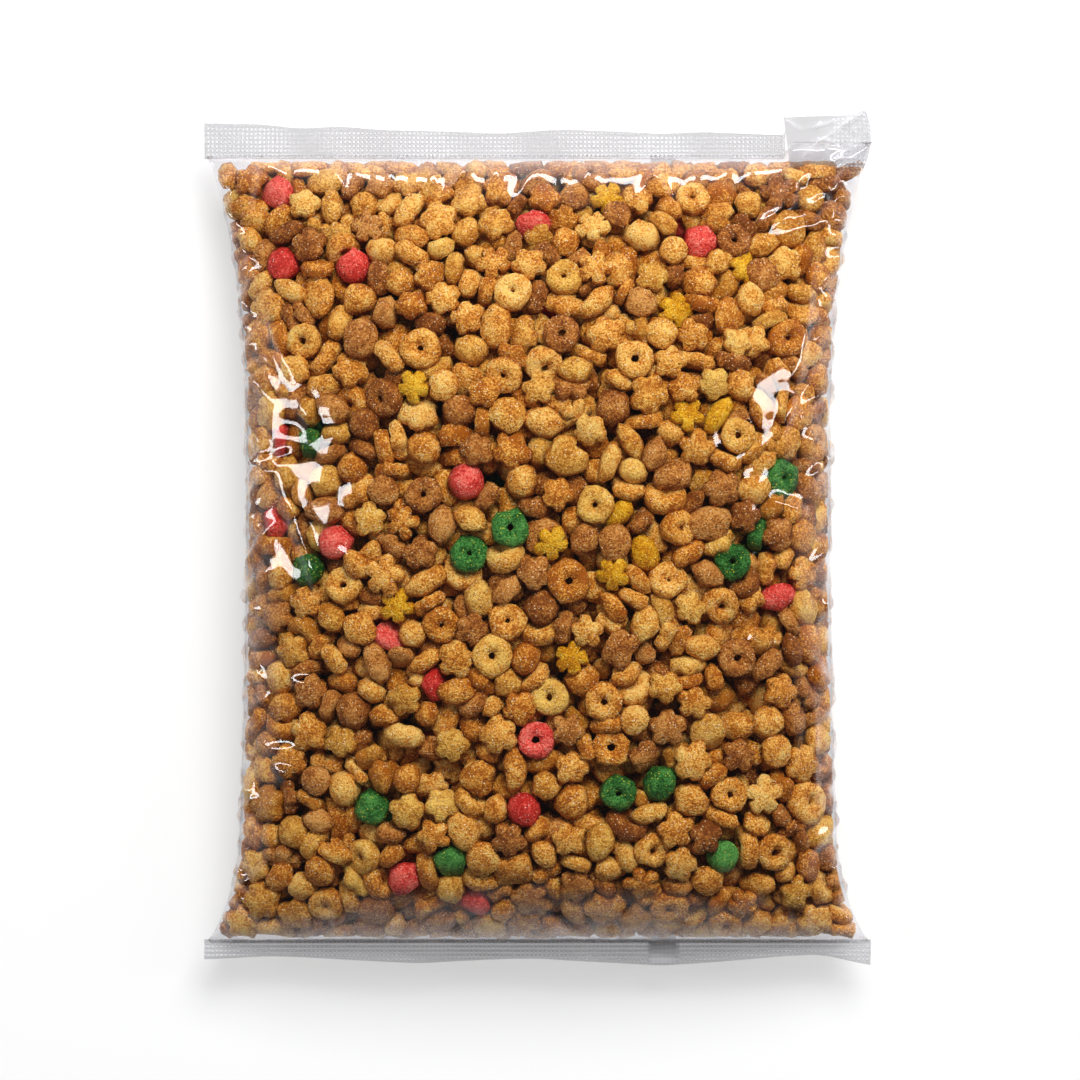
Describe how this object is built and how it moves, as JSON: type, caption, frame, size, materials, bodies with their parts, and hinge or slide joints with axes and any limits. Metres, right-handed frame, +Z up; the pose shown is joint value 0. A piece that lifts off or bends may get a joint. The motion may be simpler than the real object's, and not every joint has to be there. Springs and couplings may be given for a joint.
{
  "type": "clear pillow bag of dry pet food",
  "caption": "Clear film pillow bag, welded flat across both ends, filled with shaped dry pet kibble and lying on its back.",
  "frame": {"origin": "on the floor, under the middle of the bag's box", "axes": "+X across the bag, +Y along it towards the top seal with the folded corner, +Z up from the floor through the front"},
  "size_m": [0.234, 0.3004, 0.0641],
  "materials": {
    "clear_film": "clear glossy film, hazy at the welds",
    "brown_kibble": "rough baked crumb",
    "tan_kibble": "rough baked crumb",
    "red_kibble": "rough baked crumb",
    "green_kibble": "rough baked crumb",
    "yellow_kibble": "rough baked crumb"
  },
  "bodies": {
    "root": {"film_bag": "clear_film", "green_ring_kibble_01": "green_kibble", "green_ring_kibble_02": "green_kibble", "green_ring_kibble_03": "green_kibble", "green_ring_kibble_04": "green_kibble", "green_ring_kibble_05": "green_kibble", "green_round_kibble_01": "green_kibble", "green_round_kibble_02": "green_kibble", "green_round_kibble_03": "green_kibble", "green_round_kibble_04": "green_kibble", "green_round_kibble_05": "green_kibble", "kibble_bed": "brown_kibble", "red_ring_kibble_01": "red_kibble", "red_round_kibble_01": "red_kibble", "red_round_kibble_02": "red_kibble", "red_round_kibble_03": "red_kibble", "red_round_kibble_04": "red_kibble", "red_round_kibble_05": "red_kibble", "red_round_kibble_06": "red_kibble", "red_round_kibble_07": "red_kibble", "red_round_kibble_08": "red_kibble", "red_round_kibble_09": "red_kibble", "tan_heart_kibble_01": "tan_kibble", "tan_heart_kibble_02": "tan_kibble", "tan_oval_kibble_01": "tan_kibble", "tan_oval_kibble_02": "tan_kibble", "tan_ring_kibble_01": "tan_kibble", "tan_ring_kibble_02": "tan_kibble", "tan_ring_kibble_03": "tan_kibble", "tan_ring_kibble_04": "tan_kibble", "tan_ring_kibble_05": "tan_kibble", "tan_ring_kibble_06": "tan_kibble", "tan_ring_kibble_07": "tan_kibble", "tan_ring_kibble_08": "tan_kibble", "tan_ring_kibble_09": "tan_kibble", "tan_ring_kibble_10": "tan_kibble", "tan_ring_kibble_11": "tan_kibble", "tan_ring_kibble_12": "tan_kibble", "tan_ring_kibble_13": "tan_kibble", "tan_ring_kibble_14": "tan_kibble", "tan_ring_kibble_15": "tan_kibble", "tan_ring_kibble_16": "tan_kibble", "tan_star_kibble_01": "tan_kibble", "tan_star_kibble_02": "tan_kibble", "tan_star_kibble_03": "tan_kibble", "tan_star_kibble_04": "tan_kibble", "tan_star_kibble_05": "tan_kibble", "tan_star_kibble_06": "tan_kibble", "tan_star_kibble_07": "tan_kibble", "tan_star_kibble_08": "tan_kibble", "tan_star_kibble_09": "tan_kibble", "tan_star_kibble_10": "tan_kibble", "yellow_flower_kibble_01": "yellow_kibble", "yellow_flower_kibble_02": "yellow_kibble", "yellow_flower_kibble_03": "yellow_kibble", "yellow_flower_kibble_04": "yellow_kibble", "yellow_flower_kibble_05": "yellow_kibble", "yellow_flower_kibble_06": "yellow_kibble", "yellow_flower_kibble_07": "yellow_kibble", "yellow_flower_kibble_08": "yellow_kibble"}
  },
  "joints": []
}
